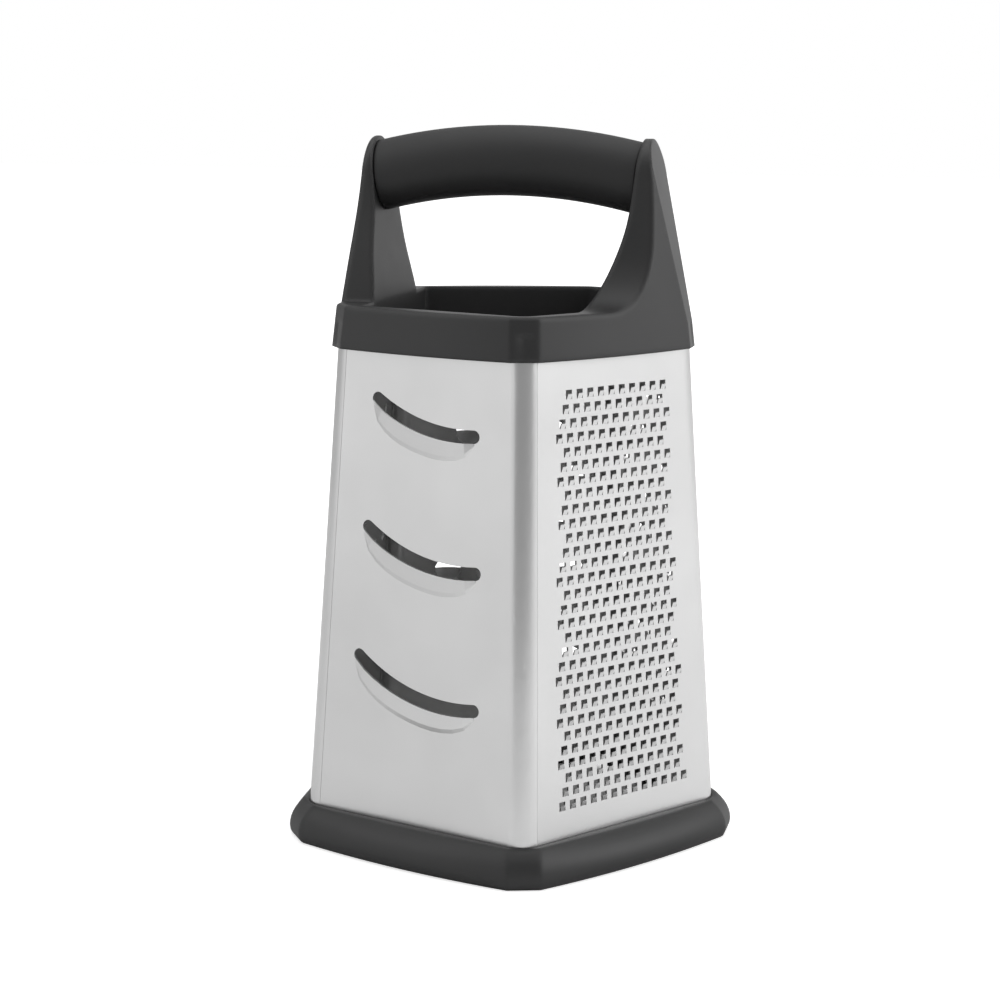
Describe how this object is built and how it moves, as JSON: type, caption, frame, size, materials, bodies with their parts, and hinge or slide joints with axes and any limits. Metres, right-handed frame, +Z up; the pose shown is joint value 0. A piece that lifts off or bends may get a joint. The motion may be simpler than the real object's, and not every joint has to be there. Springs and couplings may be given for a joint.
{
  "type": "box grater",
  "caption": "Upright tapered kitchen grater with slicing and grating faces, a black collar with an arched top handle, and a flared base.",
  "frame": {"origin": "centre of the base ring's bounding box, on its underside; the pentagon's upright axis stands 4.3 mm from it towards -X", "axes": "+Z up; +X from the flat handle post towards the corner handle post, along the handle; +Y to the side, so that the slicing face looks towards -Y"},
  "size_m": [0.1482, 0.1524, 0.24],
  "materials": {
    "steel": "brushed, grain along the faces",
    "collar": "fine satin moulded",
    "base": "fine satin moulded",
    "core": "moulded, hidden",
    "grip": "soft matte"
  },
  "bodies": {
    "root": {"slicer_panel": "steel", "fine_panel": "steel", "coarse_panel": "steel", "medium_panel": "steel", "zester_panel": "steel", "base_ring": "base", "collar_frame": "collar", "handle_core": "core", "grip_sleeve": "grip"}
  },
  "joints": []
}
